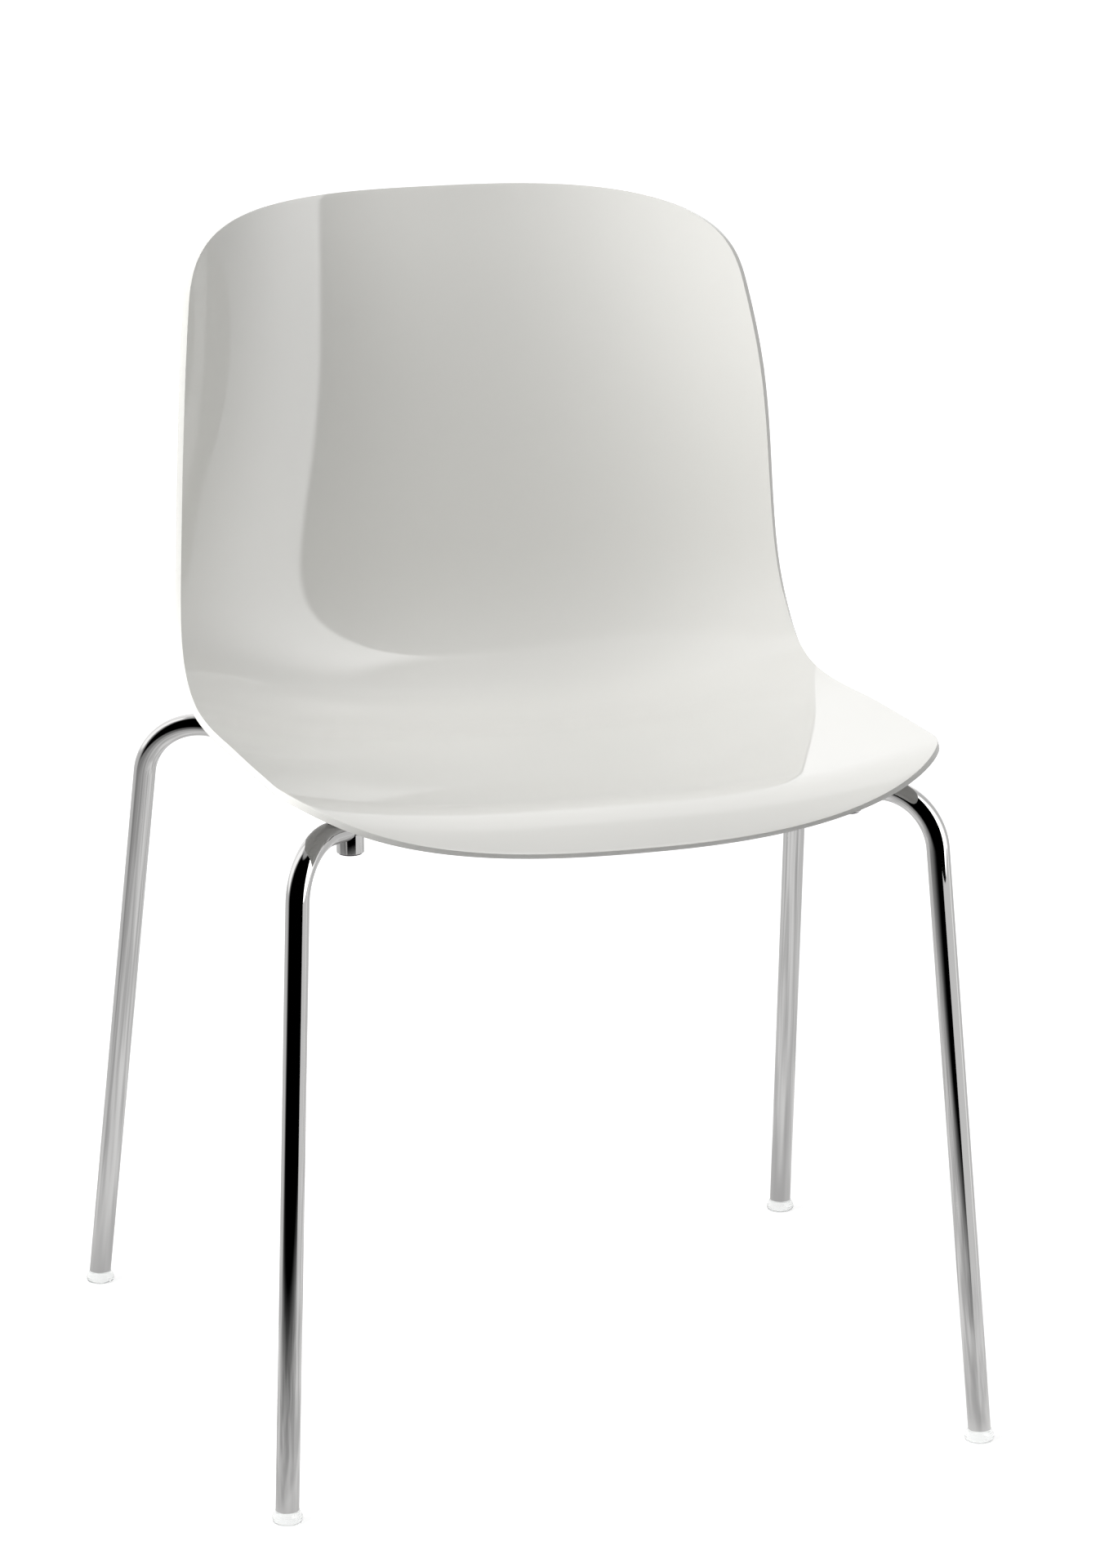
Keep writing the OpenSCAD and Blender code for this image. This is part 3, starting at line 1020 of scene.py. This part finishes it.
    @staticmethod
    def stage_for_gloss(piece: bpy.types.Object, made: bpy.types.Material) -> None:
        """Stages a glowing piece, a painted reflection, that nothing but gloss sees.

        Args:
            piece: the patch or card.
            made: its material.
        """
        piece.data.materials.append(made)
        piece.visible_camera = False
        piece.visible_diffuse = False
        piece.visible_shadow = False
        piece.visible_transmission = False

    def add_light(self, name: str, turn: float, height: float, power: float) -> None:
        """Hangs one soft square light that faces the seat. Gloss doesn't mirror it.

        Args:
            name: its name.
            turn: its direction from the camera's side, in degrees, positive to the right.
            height: its angle above the seat, in degrees.
            power: its power in watts.
        """
        back = Vector((self.camera_at[0], self.camera_at[1], 0)).normalized()
        right = Vector((-back.y, back.x, 0))
        turn, height = math.radians(turn), math.radians(height)
        towards = (back * math.cos(turn) + right * math.sin(turn)) * math.cos(height)
        towards.z = math.sin(height)
        data = bpy.data.lights.new(name, "AREA")
        data.shape = "SQUARE"
        data.size = self.lamp_size
        data.energy = power
        light = bpy.data.objects.new(name, data)
        bpy.context.collection.objects.link(light)
        light.location = Vector((0, 0, self.seat_height)) + towards * self.lamp_distance
        light.rotation_euler = (-towards).to_track_quat("-Z", "Y").to_euler()
        light.visible_glossy = False

    def add_surroundings(self) -> None:
        """Sets the studio's walls: white with a dark side and bright panels for gloss to mirror."""
        world = bpy.data.worlds.new("studio")
        bpy.context.scene.world = world
        world.use_nodes = True
        tree = world.node_tree
        tree.nodes.clear()
        where = tree.nodes.new("ShaderNodeTexCoord").outputs["Generated"]
        back = Vector((self.camera_at[0], self.camera_at[1], 0)).normalized()
        right = Vector((-back.y, back.x, 0))
        sides = []
        for axis in (right, back):
            dot = tree.nodes.new("ShaderNodeVectorMath")
            dot.operation = "DOT_PRODUCT"
            dot.inputs[1].default_value = axis
            tree.links.new(where, dot.inputs[0])
            sides.append(dot.outputs["Value"])
        split = tree.nodes.new("ShaderNodeSeparateXYZ")
        tree.links.new(where, split.inputs[0])
        turn = math_node(tree, "MULTIPLY", math_node(tree, "ARCTAN2", sides[0], sides[1]), 180 / math.pi)
        height = math_node(tree, "MULTIPLY", math_node(tree, "ARCSINE", split.outputs["Z"]), 180 / math.pi)
        shade = None
        for wall in self.walls:
            mask = wall.mask(tree, turn, height)
            mix = tree.nodes.new("ShaderNodeMix")
            mix.data_type = "FLOAT"
            mix.inputs["A"].default_value = self.wall_glow
            if shade is not None:
                tree.links.new(shade, mix.inputs["A"])
            mix.inputs["B"].default_value = wall.glow
            tree.links.new(mask, mix.inputs["Factor"])
            shade = mix.outputs["Result"]
        rays = tree.nodes.new("ShaderNodeLightPath")
        glossy = tree.nodes.new("ShaderNodeBackground")
        tree.links.new(shade, glossy.inputs["Strength"])
        soft = tree.nodes.new("ShaderNodeBackground")
        soft.inputs["Strength"].default_value = self.soft_glow
        clean = tree.nodes.new("ShaderNodeBackground")
        clean.inputs["Color"].default_value = (1, 1, 1, 1)
        clean.inputs["Strength"].default_value = self.clean_glow
        first = tree.nodes.new("ShaderNodeMixShader")
        tree.links.new(rays.outputs["Is Glossy Ray"], first.inputs[0])
        tree.links.new(soft.outputs[0], first.inputs[1])
        tree.links.new(glossy.outputs[0], first.inputs[2])
        plain = math_node(tree, "MAXIMUM", rays.outputs["Is Camera Ray"], rays.outputs["Is Transmission Ray"])
        second = tree.nodes.new("ShaderNodeMixShader")
        tree.links.new(plain, second.inputs[0])
        tree.links.new(first.outputs[0], second.inputs[1])
        tree.links.new(clean.outputs[0], second.inputs[2])
        out = tree.nodes.new("ShaderNodeOutputWorld")
        tree.links.new(second.outputs[0], out.inputs["Surface"])

    def build(self) -> None:
        """Sets up the whole studio."""
        self.add_camera()
        self.add_floor()
        self.add_mirror_floor()
        self.add_card()
        self.add_surroundings()
        for lamp in self.lamps:
            self.add_light(*lamp)
        view = bpy.context.scene.view_settings
        view.view_transform = "Standard"
        view.look = "None"
        log.info("studio ready")


# ---------------------------------------------------------------- assembly


def dress_cad_nodes(finishes: dict[Slot, bpy.types.Material]) -> None:
    """Gives the CAD nodes that stay their finishes.

    Args:
        finishes: the material of each slot.
    """
    kept = {"saddle_front_left": Slot.SADDLE, "saddle_front_right": Slot.SADDLE,
            "saddle_rear_left": Slot.SADDLE, "saddle_rear_right": Slot.SADDLE,
            "thread_inserts": Slot.INSERT, "shell_screws": Slot.FASTENER, "screw_washers": Slot.FASTENER}
    for name, slot in kept.items():
        node = frame["nodes"][name]
        if not node.material_slots:
            node.data.materials.append(finishes[slot])
        for place in node.material_slots:
            place.material = finishes[slot]
        log.info("%s: finish %s", name, finishes[slot].name)


def main() -> None:
    """Builds the chair's pieces in order and sets up the studio."""
    marks = surface_marks_group()
    finishes = {slot: finish.material(marks) for slot, finish in FINISHES.items()}
    dress(SeatShell().build(), finishes[Slot.SHELL], "seat_shell")
    chrome = ChromeFrame()
    for corner in Corner:
        dress(chrome.leg(corner), finishes[Slot.TUBE], "leg_" + corner.tag)
    dress(chrome.hub(), finishes[Slot.HUB], "hub")
    fixing = Fixing(chrome)
    glide = Glide(chrome)
    for corner in Corner:
        dress(fixing.cup(corner), finishes[Slot.CUP], "cup_" + corner.tag)
        dress(fixing.pad(corner), finishes[Slot.PAD], "pad_" + corner.tag)
        dress(glide.build(corner), finishes[Slot.GLIDE], "glide_" + corner.tag)
    dress_cad_nodes(finishes)
    Studio().build()
    clear_selection()


if __name__ == "__main__":
    main()
